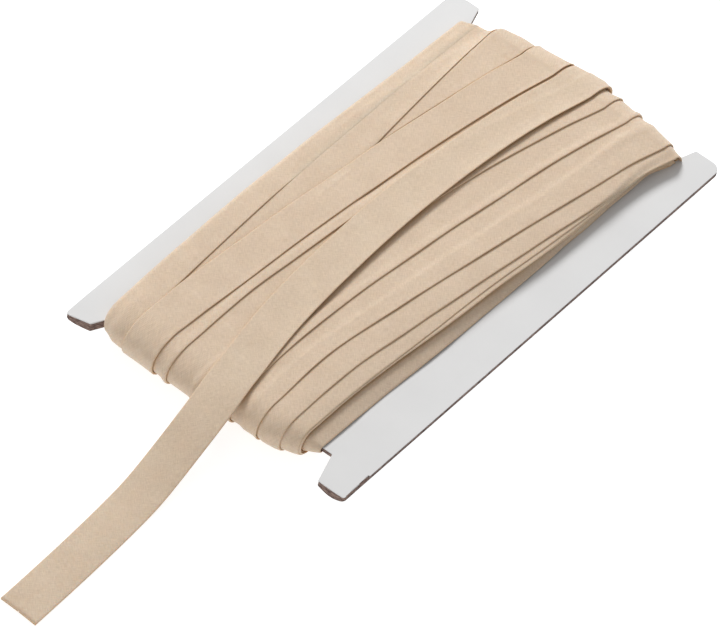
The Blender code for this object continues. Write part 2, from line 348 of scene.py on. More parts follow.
# The cotton: its shader's values, its threads, its tones, and its relief
COTTON_VALUES = {
    "Roughness": 0.9,
    "Specular IOR Level": 0.2,
    "Subsurface Weight": 0.3,
    "Subsurface Radius": (1.0, 0.6, 0.35),
    "Subsurface Scale": 1.2 * MM,
    "Sheen Weight": 0.2,
    "Sheen Roughness": 0.5,
}
BIAS = math.radians(45)
THREAD_PITCH = 0.52 * MM
THREAD_DRIFT = 3.0
WEAVE_IN_TONE = 0.05
CLOUD_IN_TONE = 0.25
WEAVE_IN_RELIEF = 0.5
RELIEF_DEPTH = 0.10 * MM
WOBBLE_SCALE = 700.0
SLUB_SCALE = 900.0
SLUB_STRETCH = (3.4, 0.35)
COTTON_CLOUD_SCALE = 60.0
COTTON_DARK = (0.42, (0.513, 0.395, 0.291))
COTTON_LIGHT = (0.84, (0.692, 0.566, 0.440))
WHITE = (1.0, 1.0, 1.0)
# Painted light and shade at the folded edges: within this width of a fold the colour is painted warmer and
# a little darker, as light that comes through a folded edge is warmer
FOLD_WIDTH = 0.6 * MM
PAINTED_FOLD_WARMTH = (1.00, 0.96, 0.90)
# Painted shade in the hollows between laps: the colour is painted darker and warmer where other laps close
# the cloth in within this reach, as the light there has met cloth more than once
HOLLOW_REACH = 5.0 * MM
HOLLOW_RAYS = 6
PAINTED_HOLLOW_SHADE = (0.25, (0.96, 0.80, 0.58))
HOLLOW_OPEN = (0.85, WHITE)
# The board's white face and brown core
FACE_VALUES = {"Roughness": 0.6, "Specular IOR Level": 0.3}
CORE_VALUES = {"Roughness": 0.95, "Specular IOR Level": 0.15}
FACE_CLOUD_SCALE = 30.0
FACE_DARK = (0.3, (0.594, 0.602, 0.612))
FACE_LIGHT = (0.8, (0.638, 0.646, 0.656))
FIBRE_SCALE = 1100.0
FIBRE_STRETCH = (0.45, 0.45, 1.6)
FIBRE_DARK = (0.36, (0.080, 0.052, 0.046))
FIBRE_LIGHT = (0.70, (0.33, 0.235, 0.20))
FIBRE_DEPTH = 0.25 * MM

# The stage and its lights
FLOOR_SIZE = 12.0
FLOOR_DROP = 0.2 * MM
FLOOR_VALUES = {
    "Roughness": 0.9,
    "Specular IOR Level": 0.0,
    "Base Color": (0.40, 0.41, 0.42, 1),
    "Emission Color": (1, 1, 1, 1),
    "Emission Strength": 0.80,
}
SKY_COLOUR = (1.0, 0.99, 0.98, 1)
SKY_STRENGTH = 0.46
LIGHT_COLUMNS = ("name", "place", "target", "size", "power", "colour")
LIGHTS = (
    ("key", (-1.05, 0.90, 1.42), (0, -0.03, 0), 0.80, 35.0, (1.0, 0.985, 0.97)),
    ("fill", (-0.05, -1.55, 0.75), (0, -0.05, 0), 1.00, 5.5, (1.0, 0.95, 0.88)),
)
# The camera, at the photograph's view
CAMERA_AZIMUTH = math.radians(33.41)
CAMERA_ELEVATION = math.radians(48.37)
CAMERA_ROLL = math.radians(8.0)
CAMERA_DISTANCE = 3.439
CAMERA_TARGET = Vector((14.9 * MM, -46.2 * MM, CARD_TOP))
CAMERA_LENS = 400.0
CAMERA_SENSOR = 36.0


# Curves


def ease(share):
    """A step from 0 to 1 with soft ends."""
    return share * share * (3 - 2 * share)


def smooth_through(values, t):
    """A smooth curve through evenly spaced values, at t from 0 to 1, for an array t."""
    values = np.asarray(values, float)
    place = np.clip(t, 0.0, 1.0) * (len(values) - 1)
    i = np.minimum(place.astype(int), len(values) - 2)
    f = place - i
    padded = np.concatenate([[2 * values[0] - values[1]], values, [2 * values[-1] - values[-2]]])
    p0, p1, p2, p3 = padded[i], padded[i + 1], padded[i + 2], padded[i + 3]
    return p1 + 0.5 * f * (p2 - p0 + f * (2 * p0 - 5 * p1 + 4 * p2 - p3 + f * (3 * (p1 - p2) + p3 - p0)))


# The loop round the card


class Loop:
    """Stations round the winding: how far along the card, the angle of the way out, and the edge's t."""

    def __init__(self):
        top = np.arange(TOP_STEPS) / TOP_STEPS
        wrap = np.arange(WRAP_STEPS) * math.pi / WRAP_STEPS
        under = 1 - np.arange(UNDER_STEPS) / UNDER_STEPS
        near, far, up = np.ones(WRAP_STEPS), np.zeros(WRAP_STEPS), math.pi / 2
        self.t = np.concatenate([top, near, 0.5 - 0.5 * np.cos(math.pi * under), far])
        self.y = NOTCH_Y * np.concatenate([1 - 2 * top, -near, 1 - 2 * under, 1 - far])
        self.angle = np.concatenate([0 * top + up, up + wrap, 0 * under - up, wrap - up])
        self.count = len(self.t)
        wrap_step = math.pi * (CARD_THICK / 2 + MEAN_HEIGHT) / WRAP_STEPS
        steps = (2 * NOTCH_Y / TOP_STEPS, wrap_step, 2 * NOTCH_Y / UNDER_STEPS, wrap_step)
        step = np.repeat(steps, (TOP_STEPS, WRAP_STEPS, UNDER_STEPS, WRAP_STEPS))
        self.s = np.concatenate([[0], np.cumsum(step)[:-1]])
        self.length = step.sum()

    def place(self, x, height):
        """World points at x and height over the card's face, for arrays with a row for each station."""
        reach = CARD_THICK / 2 + height
        out_y = np.cos(self.angle)[:, None]
        out_z = np.sin(self.angle)[:, None]
        far = np.interp(x / MM, *np.array(END_REACH_FAR).T)
        near = np.interp(x / MM, *np.array(END_REACH_NEAR).T)
        stretch = np.where(out_y > 0, far, near)
        dip = np.clip((np.abs(self.y) - NOTCH_Y + END_DIP_LENGTH) / END_DIP_LENGTH, 0, 1)
        upper = np.clip(np.sin(self.angle), 0, 1)
        lower = np.clip(-np.sin(self.angle), 0, 1)
        level = 1 - END_DIP * ease(dip) * upper - (1 - UNDER_SQUEEZE) * lower
        y = self.y[:, None] + reach * out_y * stretch
        z = CARD_MID + reach * out_z * level[:, None]
        return np.stack([x, y, z], -1)


LOOP = Loop()


def edge(name):
    """An edge's place across, at each station."""
    place = smooth_through(EDGES[name], LOOP.t)
    if name in FLARES:
        most, begins = FLARES[name]
        share = np.clip((LOOP.y / MM - begins) / (NOTCH_Y / MM - begins), 0, 1)
        place = place + most * share**FLARE_POWER
    return place * MM


def waves(count, rng):
    """A slow uneven curve of amplitude about 1 that closes on itself round the loop."""
    total = np.zeros_like(LOOP.s)
    for k in range(count):
        turns = rng.integers(FEWEST_TURNS, TURNS_BELOW + MORE_TURNS * k)
        phase = rng.uniform(0, 2 * np.pi)
        total += np.sin(2 * np.pi * turns * LOOP.s / LOOP.length + phase) / math.sqrt(count)
    return total


# The height of what is wound so far


def slide(values, steps, axis, wrap):
    """Copies of an array, each moved by one of the steps along an axis."""
    reach = max(abs(step) for step in steps)
    pad = [(0, 0), (0, 0)]
    pad[axis] = (reach, reach)
    wide = np.pad(values, pad, mode="wrap" if wrap else "edge")
    size = values.shape[axis]
    for step in steps:
        yield np.take(wide, range(reach + step, reach + step + size), axis=axis)


def soften(values, reach, axis, wrap):
    """A running mean with soft ends, over reach steps to each side."""
    weights = np.hanning(2 * reach + 3)[1:-1]
    weights /= weights.sum()
    steps = range(-reach, reach + 1)
    return sum(weight * moved for weight, moved in zip(weights, slide(values, steps, axis, wrap)))


def bridge(values, reach):
    """Fills hollows narrower than twice the reach, and leaves every edge where it is."""
    steps = range(-reach, reach + 1)
    high = values
    for moved in slide(values, steps, 1, False):
        high = np.maximum(high, moved)
    low = high
    for moved in slide(high, steps, 1, False):
        low = np.minimum(low, moved)
    return low


class Pile:
    """The winding as it grows: a height over the card's face for each station and place across."""

    def __init__(self):
        self.rank = FIRST_RANK
        self.height = np.zeros((LOOP.count, len(GRID)))
        left = smooth_through(CORE_LEFT, LOOP.t) * MM
        flank_left = np.minimum(edge("lowest"), edge("flank_top")) - TAPE_WIDTH - FLANK_MARGIN
        for values in CORE_STEPS:
            step = dict(zip(CORE_COLUMNS, values))
            right = edge(step["edge"]) - TAPE_WIDTH - step["stands_back"] * MM
            inside = (GRID > left[:, None]) & (GRID < np.minimum(right, flank_left)[:, None])
            self.height[inside] = step["height"] * MM

    def next_rank(self):
        """The next lap's rank, one lower than the last."""
        self.rank -= 1
        return self.rank + 1

    def bed(self, x, stiffness=1.0):
        """What a lap rests on at the points x: taut over hollows, soft over edges, and never inside."""
        reach = int(BRIDGE_SPAN * stiffness / 2 / GRID_STEP)
        bridged = bridge(self.height, reach)
        across = soften(bridged, int(EDGE_SOFTNESS * stiffness / GRID_STEP), 1, False)
        level = soften(np.maximum(across, self.height), ALONG_SOFTNESS, 0, True)
        level = soften(np.maximum(level, self.height), KINK_SOFTNESS, 1, False)
        return np.stack([np.interp(x[s], GRID, level[s]) for s in range(LOOP.count)])

    def add(self, x, top):
        for s in range(LOOP.count):
            inside = (GRID >= x[s, 0]) & (GRID <= x[s, -1])
            level = np.interp(GRID[inside], x[s], top[s])
            self.height[s, inside] = np.maximum(self.height[s, inside], level)


# Strips


def across_shares(width):
    """Where a strip has points, as shares of its width: close together at both folded edges."""
    near = np.array(EDGE_DISTANCES) * MM / width
    middle = np.linspace(near[-1], 1 - near[-1], INNER_POINTS)[1:-1]
    return np.concatenate([near, middle, 1 - near[::-1]])


def fold_profile(distance, thick):
    """Where the under and upper faces are, over the bed, at a distance in from a folded edge."""
    inside = np.clip(1 - distance / EDGE_ROUND, 0, 1)
    half = thick / 2 * np.sqrt(1 - inside**2)
    return thick / 2 - half, thick / 2 + half


def round_strip(upper, lower):
    """A row's values round the strip: over its upper side and back under it."""
    return np.concatenate([upper, lower[:, -2:0:-1]], axis=1)


class StripMesh:
    """Collects strips in one mesh, with the tape's own lengthwise and crosswise measure."""

    def __init__(self):
        self.points = []
        self.faces = []
        self.measure = []
        self.fold = []
        self.count = 0

    def add_rings(self, rings, across, along, fold, closed=True):
        """A strip through rings of points, which goes round the card or is capped at both ends."""
        rows, size = rings.shape[:2]
        base = self.count
        self.points.append(rings.reshape(-1, 3))
        along = np.repeat(along[:, None], size, axis=1)
        self.measure.append(np.stack([across, along], -1).reshape(-1, 2))
        self.fold.append(fold.ravel())
        self.count += rows * size
        for r in range(rows if closed else rows - 1):
            a, b = base + r * size, base + ((r + 1) % rows) * size
            for c in range(size):
                d = (c + 1) % size
                self.faces.append((a + c, a + d, b + d, b + c))
        if not closed:
            self.faces.append(tuple(base + c for c in range(size))[::-1])
            self.faces.append(tuple(base + (rows - 1) * size + c for c in range(size)))

    def add_lap(self, upper, lower, across, along, fold):
        """A lap from its upper and lower points, which share both edge points of each row."""
        rings = round_strip(upper, lower)
        self.add_rings(rings, round_strip(across, across), along, round_strip(fold, fold))

    def to_object(self, name):
        data = bpy.data.meshes.new(name)
        measure = np.concatenate(self.measure)
        data.from_pydata(np.concatenate(self.points).tolist(), [], self.faces)
        layer = data.uv_layers.new(name="tape")
        corners = np.empty(len(data.loops), dtype=np.int32)
        data.loops.foreach_get("vertex_index", corners)
        layer.data.foreach_set("uv", measure[corners].ravel())
        fold = data.attributes.new("fold", "FLOAT", "POINT")
        fold.data.foreach_set("value", np.concatenate(self.fold))
        data.validate()
        bm = bmesh.new()
        bm.from_mesh(data)
        bmesh.ops.recalc_face_normals(bm, faces=bm.faces)
        bm.to_mesh(data)
        bm.free()
        data.shade_smooth()
        return link_object(name, data)


def link_object(name, data):
    """A new object in the scene."""
    thing = bpy.data.objects.new(name, data)
    bpy.context.scene.collection.objects.link(thing)
    return thing


def flatten_under(points, rank):
    """Presses the underside flat on the surface, a hair higher for each lap wound earlier."""
    points[..., 2] = np.maximum(points[..., 2], rank * RANK_STEP)
    return points


# The laps


def held_up(held, droops):
    """The least height of a lap, by how far a point is from its right edge, which may droop."""
    return lambda from_right: held - droops * np.clip(1 - from_right / DROOP_WIDTH, 0, 1) ** 2


def lay_lap(
    strips, pile, right, rng,
    width=TAPE_WIDTH, thick=LAP_THICK, wander=WANDERS, lift=0.0, floor=held_up(0.0, 0.0),
):
    """Winds one lap flat round the card, with its right edge where it is told, and no lower than floor."""
    right = right + waves(3, rng) * wander
    shares = across_shares(TAPE_WIDTH)
    width = np.broadcast_to(width, right.shape) * (1 + WIDTH_VARIES * waves(2, rng))
    thick = np.broadcast_to(thick, right.shape)[:, None]
    left = right - width
    x = left[:, None] + width[:, None] * shares[None, :]
    from_left = shares[None, :] * width[:, None]
    from_right = width[:, None] - from_left
    fold = np.minimum(from_left, from_right)
    bed = np.maximum(pile.bed(x), floor(from_right))
    low, high = fold_profile(fold, thick)
    rise = 0.5 + 0.5 * np.clip(waves(4, rng), -1, 1)
    bed = bed + lift * rise[:, None] * np.exp(-from_right / EDGE_LIFT_WIDTH)
    ripple = RIPPLE * waves(6, rng)[:, None] * np.sin(np.pi * shares)[None, :]
    upper = bed + high + np.abs(ripple)
    pile.add(x, upper)
    rank = pile.next_rank()
    strips.add_lap(
        flatten_under(LOOP.place(x, upper), rank),
        flatten_under(LOOP.place(x, bed + low), rank),
        from_left,
        LOOP.s + rng.uniform(0, WEAVE_SHIFT),
        fold,
    )


def lay_shoulder_lap(strips, pile, flank, right, rng, thick, reaches_down):
    """Winds a lap whose left part turns down the left flank. Its thickness goes by station and place."""
    shares = across_shares(TAPE_WIDTH)
    width = (right - flank + reaches_down)[:, None]
    arc = SHOULDER_ROUND * math.pi / 2
    flat_left = np.maximum(right[:, None] - width, flank[:, None])
    flat_x = np.linspace(0, 1, SHOULDER_POINTS)[None, :]
    bed_x = flat_left + (right[:, None] - flat_left) * flat_x
    from_right = (1 - shares)[None, :] * width
    flat = (right - flank - SHOULDER_ROUND)[:, None]
    bend = np.clip((from_right - flat) / arc, 0, 1) * math.pi / 2
    down = np.clip(from_right - flat - arc, 0, None)
    turned_x = flank[:, None] + SHOULDER_ROUND * (1 - np.sin(bend))
    x = np.where(from_right < flat, right[:, None] - from_right, turned_x)
    bed_under = np.maximum(x, (flank + SHOULDER_ROUND)[:, None])
    level = np.stack([np.interp(*row) for row in zip(bed_under, bed_x, pile.bed(bed_x))])
    height = np.maximum(level - SHOULDER_ROUND * (1 - np.cos(bend)) - down, SHOULDER_LEAST)
    from_left = shares[None, :] * width
    fold = np.minimum(from_left, width - from_left)
    low, high = fold_profile(fold, thick(x))
    upper_x, upper_h = x - np.sin(bend) * high, height + np.cos(bend) * high
    lower_x, lower_h = x - np.sin(bend) * low, height + np.cos(bend) * low
    order = np.argsort(upper_x, axis=1)
    pile.add(np.take_along_axis(upper_x, order, 1), np.take_along_axis(upper_h, order, 1))
    rank = pile.next_rank()
    strips.add_lap(
        flatten_under(LOOP.place(upper_x, upper_h), rank),
        flatten_under(LOOP.place(lower_x, lower_h), rank),
        from_left,
        LOOP.s + rng.uniform(0, WEAVE_SHIFT),
        fold,
    )


def lay_left_laps(strips, pile, rng):
    """The two laps over the left shoulder. The step between them fades out towards the far end."""
    outer, next_right, right = edge("flank_outer"), edge("next_left_lap"), edge("left_lap")
    flush = ease(np.clip((LOOP.y - FLUSH_FROM) / (FLUSH_TO - FLUSH_FROM), 0, 1))[:, None]

    def taper(x):
        return np.clip((right[:, None] - x) / FLUSH_WIDTH, 0, 1)

    def next_thick(x):
        return PACKED_THICK * (1 - flush * (1 - 2 * FLUSH_LEAST) * taper(x))

    def left_thick(x):
        return PACKED_THICK * (1 - flush * (1 - np.maximum(taper(x), FLUSH_LEAST)))

    lay_shoulder_lap(strips, pile, outer + LAP_THICK, next_right, rng, next_thick, NEXT_LEFT_DOWN)
    lay_shoulder_lap(strips, pile, outer, right, rng, left_thick, LEFT_DOWN)


def lay_left_flank(strips, pile, rng):
    """The stacked laps whose left edges make up the left flank."""
    inner, outer = edge("flank_inner"), edge("flank_outer")
    thick = smooth_through(LEFT_THICK, LOOP.t) * MM
    core_left = smooth_through(CORE_LEFT, LOOP.t) * MM
    for k in range(LEFT_LAPS):
        share = k / (LEFT_LAPS - 1)
        left = inner + (outer + FLANK_INSET - inner) * share + rng.uniform(0.0, LEFT_UNEVEN)
        right = np.minimum(left + TAPE_WIDTH, core_left - CORE_MARGIN)
        lay_lap(strips, pile, right, rng, width=right - left, thick=thick, wander=LEFT_WANDERS)


def lay_right_flank(strips, pile, rng):
    """The fanned laps whose right edges make up the right flank, which stands open over the card."""
    lowest, top = edge("lowest"), edge("flank_top")
    stands_open = np.clip((lowest - top) / FLANK_OPEN, 0, 1)

    def lay_table(table):
        for values in table:
            lap = dict(zip(FLANK_COLUMNS, values))
            right = lowest + (top - lowest) * lap["share"] - lap["draws_back"] * MM * stands_open
            floor = held_up(lap["held"] * MM, lap["droops"] * MM)
            wander = lap["wanders"] * MM
            lay_lap(strips, pile, right, rng, thick=PACKED_THICK, wander=wander, floor=floor)

    def ramp(from_right):
        run = np.maximum(lowest - top + RAMP_BEYOND, RAMP_BEYOND)[:, None]
        rise = (RAMP_HEIGHT * stands_open)[:, None]
        return rise * np.sin(np.clip(from_right / run, 0, 1) * math.pi / 2)

    lay_table(FLANK_UNDER)
    lay_lap(
        strips, pile, lowest, rng,
        thick=PACKED_THICK, wander=RAMP_WANDERS, lift=RAMP_LIFT, floor=ramp,
    )
    lay_table(FLANK_OVER)


def build_winding():
    """The whole winding, lap after lap, in the order in which it was wound."""
    rng = np.random.default_rng(SEED)
    pile = Pile()
    left_laps, right_laps = StripMesh(), StripMesh()
    lay_left_flank(left_laps, pile, rng)
    lay_right_flank(right_laps, pile, rng)

    def lay_top_lap(strips, name, **options):
        lay_lap(strips, pile, edge(name), rng, lift=LIFTS[name] * MM, **options)

    lay_lap(right_laps, pile, edge("over_flank"), rng, thick=OVER_THICK)
    lay_top_lap(right_laps, "right", floor=held_up(RIGHT_HELD, RIGHT_DROOPS))
    wide = edge("wide_right") - edge("right_of_loose") + SPARE_WIDTH
    lay_top_lap(right_laps, "wide_right", width=np.maximum(TAPE_WIDTH, wide))
    lay_top_lap(right_laps, "right_of_loose")
    lay_top_lap(right_laps, "under_loose")
    wedge = edge("wedge")
    width = np.minimum(TAPE_WIDTH, wedge - edge("flank_outer") - WEDGE_CLEAR)
    lay_lap(left_laps, pile, wedge, rng, width=width, thick=PACKED_THICK, wander=0.0)
    lay_left_laps(left_laps, pile, rng)
    lay_top_lap(left_laps, "beside_crown")
    loose = lay_loose_lap(pile)
    lay_top_lap(left_laps, "crown", width=edge("crown") - edge("crown_left"), wander=0.0)
    return left_laps.to_object("left_laps"), right_laps.to_object("right_laps"), loose


def build_core():
    """The hidden inside of the winding."""
    strips = StripMesh()
    left = smooth_through(CORE_LEFT, LOOP.t) * MM - CORE_BEYOND
    right = edge("flank_top") - TAPE_WIDTH
    across = (right - left)[:, None] * np.linspace(0, 1, CORE_POINTS)[None, :]
    x = left[:, None] + across
    upper = np.full_like(x, CORE_HEIGHT)
    upper[:, [0, -1]] = CORE_LEAST
    lower = np.full_like(x, CORE_LEAST)
    upper = flatten_under(LOOP.place(x, upper), CORE_RANK)
    strips.add_lap(upper, LOOP.place(x, lower), across, LOOP.s, across)
    return strips.to_object("wound_core")


# The loose end


def folded_section():
    """The tape's cut section as across and up: the top layer, and both edges folded in under it."""
    half = TAPE_WIDTH / 2
    flat = half - BEND
    inner = half - INSIDE_BEND * BEND

    def fold(side, angle):
        across = flat + BEND * math.cos(math.radians(angle))
        return side * across, LOOSE_THICK / 2 * (1 + math.sin(math.radians(angle)))

    outward = np.linspace(0, 1, SECTION_FOLD_POINTS)
    outline = [(flat * share, LOOSE_THICK) for share in np.linspace(-1, 1, SECTION_TOP_POINTS)]
    outline += [fold(1, angle) for angle in BEND_ANGLES]
    outline += [(SLIT + (flat - SLIT) * share, 0.0) for share in outward[::-1]]
    outline += [(SLIT + (inner - SLIT) * share, LAYER) for share in outward]
    under_top = np.linspace(1, -1, SECTION_INNER_POINTS)
    outline += [(inner * share, LOOSE_THICK - LAYER) for share in under_top]
    outline += [(-SLIT - (inner - SLIT) * share, LAYER) for share in outward[::-1]]
    outline += [(-SLIT - (flat - SLIT) * share, 0.0) for share in outward]
    outline += [fold(-1, angle) for angle in BEND_ANGLES[::-1]]
    return np.array(outline)


def lay_loose_lap(pile):
    """The part of the loose end that lies on the laps. Returns its rings of points, far end first."""
    middle = smooth_through(LOOSE_RIGHT, LOOP.t) * MM - TAPE_WIDTH / 2
    lift = smooth_through(LOOSE_LIFT, LOOP.t) * MM
    shares = np.linspace(0, 1, LOOSE_POINTS)
    x = middle[:, None] + (shares[None, :] - 0.5) * TAPE_WIDTH
    bed = soften(pile.bed(x, stiffness=LOOSE_STIFFNESS), LOOSE_SOFTNESS, 0, True) + LOOSE_CLEAR
    rise = np.clip(1 - (1 - shares) * LOOSE_LIFT_SLOPE, 0, 1) ** 2
    bed = bed + lift[:, None] * rise[None, :]
    section = folded_section()
    place_share = section[:, 0] / TAPE_WIDTH + 0.5
    ring_x = middle[:, None] + section[:, 0][None, :]
    ring_h = np.stack([np.interp(place_share, shares, row) for row in bed]) + section[:, 1]
    points = flatten_under(LOOP.place(ring_x, ring_h), 0)
    far_wrap = range(LOOP.count - WRAP_STEPS, LOOP.count)
    first = next(s for s in far_wrap if LOOP.angle[s] > LOOSE_FAR_ANGLE)
    last = max(s for s in range(TOP_STEPS) if LOOP.y[s] > LOOSE_LEAVES_Y)
    order = [*range(first, LOOP.count), *range(last + 1)]
    covered = np.isin(np.arange(LOOP.count), order)
    pile.add(x, np.where(covered[:, None], bed + LOOSE_THICK, 0.0))
    return points[order]


def free_curve(start):
    """The way of the loose end's middle, from its start on the laps: distances along it, and points."""
    knots = [start]
    for values in LOOSE_FREE:
        row = dict(zip(LOOSE_COLUMNS, values))
        height = max(start[2] + row["drop"] * MM, FREE_LEAST)
        knots.append((row["across"] * MM, row["along"] * MM, height))
    knots = np.array(knots)
    gaps = np.linalg.norm(np.diff(knots, axis=0), axis=1)
    reached = np.concatenate([[0], np.cumsum(gaps)])
    along = np.linspace(0, reached[-1], int(reached[-1] / FREE_STEP) + 1)
    curve = np.stack([np.interp(along, reached, knots[:, k]) for k in range(3)], -1)
    for _ in range(FREE_SMOOTHING):
        curve[1:-1] = (curve[:-2] + 2 * curve[1:-1] + curve[2:]) / 4
    curve[:, 2] = np.maximum(curve[:, 2], FREE_LEAST)
    return along, curve


def free_rings(last_ring):
    """Rings of the loose end from where it leaves the laps to its cut end."""
    section = folded_section()
    crosswise = section[:, 0]
    start = last_ring[:SECTION_TOP_POINTS].mean(axis=0)
    start[2] -= LOOSE_THICK
    along, curve = free_curve(start)
    level = np.full_like(crosswise, start[1])
    flat_ring = np.stack([crosswise + start[0], level, start[2] + section[:, 1]], -1)
    unevenness = last_ring - flat_ring
    rings = []
    for i in range(1, len(curve)):
        ahead = curve[min(i + 1, len(curve) - 1)] - curve[i - 1]
        forward = Vector(ahead).normalized()
        side = (Vector((1, 0, 0)) - forward * forward.x).normalized()
        turned = min(1.0, along[i] / LEAVE_LENGTH)
        side = Vector((1, 0, 0)).lerp(side, turned).normalized()
        up = forward.cross(side).normalized()
        near_cut = max(0.0, 1 - (along[-1] - along[i]) / END_CURL_LENGTH)
        crown = FREE_CROWN * turned * (1 - (2 * crosswise / TAPE_WIDTH) ** 2)
        height = section[:, 1] * (1 + END_CURL * near_cut**2) + crown
        ring = curve[i] + crosswise[:, None] * np.array(side) + height[:, None] * np.array(up)
        ring += unevenness * (1 - ease(turned))
        ring += (CUT_SLANT * near_cut * crosswise)[:, None] * np.array(forward)
        rings.append(ring)
    return np.array(rings)


def build_loose_end(lapped):
    """The loose last turn: its folded section carried along the laps and on to its cut end."""
    rings = np.concatenate([lapped, free_rings(lapped[-1])])
    middles = rings[:, SECTION_TOP_POINTS // 2]
    gaps = np.linalg.norm(np.diff(middles, axis=0), axis=1)
    along = np.concatenate([[0], np.cumsum(gaps)])
    across = np.repeat(folded_section()[None, :, 0] + TAPE_WIDTH / 2, len(rings), axis=0)
    strips = StripMesh()
    strips.add_rings(rings, across, along, np.minimum(across, TAPE_WIDTH - across), closed=False)
    return strips.to_object("loose_tape"), float(along[-1])


# The card


def card_corners():
    """The card's corners in order, each with its radius, all in millimetres."""
    w, l = HALF_WIDTH / MM, HALF_LENGTH / MM
    root, mouth, notch = NOTCH_ROOT / MM, NOTCH_MOUTH / MM, NOTCH_Y / MM
    return (
        (root, notch, 0.6),
        (mouth, l, 0.8),
        (w, l, 5.0),
        (w, -l, 1.6),
        (mouth, -l, 0.8),
        (root, -notch, 0.6),
        (-root, -notch, 0.6),
        (*LEFT_TIP_MOUTH, 0.8),
        (*LEFT_TIP, 1.6),
        (-w, l, 8.0),
        (-mouth, l, 0.8),
        (-root, notch, 0.6),
    )


def rounded(corners):
    """The outline through the corners, with an arc at each of them."""
    outline = []
    count = len(corners)
    for i, (x, y, radius) in enumerate(corners):
        here = Vector((x, y))
        before = (Vector(corners[i - 1][:2]) - here).normalized()
        after = (Vector(corners[(i + 1) % count][:2]) - here).normalized()
        half = before.angle(after) / 2
        centre = here + (before + after).normalized() * radius / math.sin(half)
        first = here + before * radius / math.tan(half) - centre
        last = here + after * radius / math.tan(half) - centre
        for k in range(CORNER_STEPS + 1):
            outline.append(centre + first.slerp(last, k / CORNER_STEPS) * first.length)
    return outline


def tip_share(y, begin):
    """How far towards the near end a place is, from 0 at begin to 1 at that end."""
    return min(1.0, max(0.0, (-y - begin) / (HALF_LENGTH - begin)))


def upper_sag(x, y):
    """The near tips bend down a little."""
    return -TIP_SAG * tip_share(y, NOTCH_Y) ** 2 * (1.0 if x < 0 else RIGHT_TIP_SAG)


def lower_sag(x, y):
    """Under the near tips the board has swollen and split, which makes it thicker there."""
    across = min(1.0, max(0.0, (abs(x) - NOTCH_MOUTH) / (HALF_WIDTH - NOTCH_MOUTH)))
    if x < 0:
        share = tip_share(y, NOTCH_Y - LEFT_SWELL_BEFORE)
        most = LEFT_SWELL[0] + LEFT_SWELL[1] * share
        swell = min(1.0, share * LEFT_SWELL_RISE) * most * (1 - LEFT_SWELL_TAPER * across**4)
    else:
        share = tip_share(y, NOTCH_Y - RIGHT_SWELL_BEFORE)
        most = RIGHT_SWELL[0] * (1 - across) + RIGHT_SWELL[1] * math.sin(math.pi * across)
        swell = share**RIGHT_SWELL_POWER * most
    return upper_sag(x, y) - swell


def worn_from(y):
    """How far across the white face reaches on the near right tip, where its edge is worn off."""
    start = HALF_LENGTH - WORN_LENGTH
    if -y < start:
        return math.inf
    share = (-y - start) / WORN_LENGTH
    return HALF_WIDTH - WORN_WIDTH + (WORN_WIDTH - WORN_TAPER) * share


def cut_across(bm, place, normal):
    everything = [*bm.verts, *bm.edges, *bm.faces]
    bmesh.ops.bisect_plane(bm, geom=everything, plane_co=place, plane_no=normal, dist=CUT_TOLERANCE)


def cut_grid(bm):
    """Cuts the board's faces into a grid that is finer towards the near tips."""
    fine_from, fine_to, fine_step = FINE_CUTS
    coarse_from, coarse_step = COARSE_CUTS
    fine = np.arange(-HALF_LENGTH + fine_from, -HALF_LENGTH + fine_to, fine_step)
    coarse = np.arange(-HALF_LENGTH + coarse_from, HALF_LENGTH, coarse_step)
    worn = -(HALF_LENGTH - WORN_LENGTH)
    for y in sorted([*coarse, *fine, worn - WORN_CUT, worn + WORN_CUT]):
        cut_across(bm, (0, y, 0), (0, 1, 0))
    steps = []
    for start, stop, step in ACROSS_CUTS:
        steps += list(np.arange(start * MM, stop * MM, step * MM))
    for x in [*steps, *[-x for x in steps]]:
        cut_across(bm, (x, 0, 0), (1, 0, 0))


def board_block():
    """The plain board, as thick as it is, with its faces and its cut edge divided finely."""
    bm = bmesh.new()
    outline = rounded(card_corners())
    face = bm.faces.new([bm.verts.new((p.x * MM, p.y * MM, CARD_BOTTOM)) for p in outline])
    made = bmesh.ops.extrude_face_region(bm, geom=[face])
    lifted = [v for v in made["geom"] if isinstance(v, bmesh.types.BMVert)]
    bmesh.ops.translate(bm, verts=lifted, vec=(0, 0, CARD_TOP - CARD_BOTTOM))
    cut_grid(bm)
    bmesh.ops.recalc_face_normals(bm, faces=bm.faces)
    upright = [e for e in bm.edges if abs(e.verts[0].co.z - e.verts[1].co.z) > CARD_THICK / 2]
    bmesh.ops.subdivide_edges(bm, edges=upright, cuts=EDGE_ROWS, use_grid_fill=True)
    bm.normal_update()
    return bm


def ways_out(bm):
    """For each point of the cut edge, the way out of the board."""
    ways = {}
    for v in bm.verts:
        sides = [f.normal for f in v.link_faces if abs(f.normal.z) < EDGE_NORMAL]
        if sides:
            ways[v] = sum(sides, Vector((0, 0, 0))).normalized()
    return ways


def edge_levels():
    """Heights of the rows of points over the cut edge, with close rows where the paper ends."""
    lower = [0.0, PAPER / 2, PAPER, PAPER + PAPER_LIP]
    upper = [CARD_THICK - level for level in lower[::-1]]
    core_rows = EDGE_ROWS + 2 - len(lower) - len(upper)
    core = np.linspace(lower[-1], upper[0], core_rows + 2)[1:-1]
    return [*lower, *core, *upper]


def roughen_edge(bm):
    """Draws in the rims of both faces, and roughens the core between them, most at the near tips."""
    levels = edge_levels()
    rows = EDGE_ROWS + 1
    for v, way in ways_out(bm).items():
        row = int(round((v.co.z - CARD_BOTTOM) / CARD_THICK * rows))
        v.co.z = CARD_BOTTOM + levels[min(row, rows)]
        if row in (0, rows):
            v.co -= way * RIM
        elif PAPER_ROWS < row < rows - PAPER_ROWS:
            spot = v.co / ROUGH_GRAIN
            rough = noise.noise(spot) + 0.5 * noise.noise(spot * ROUGH_FINER)
            most = ROUGH_MIDDLE + ROUGH_TIP * tip_share(v.co.y, NOTCH_Y)
            v.co += way * (rough * most - ROUGH_INSET)


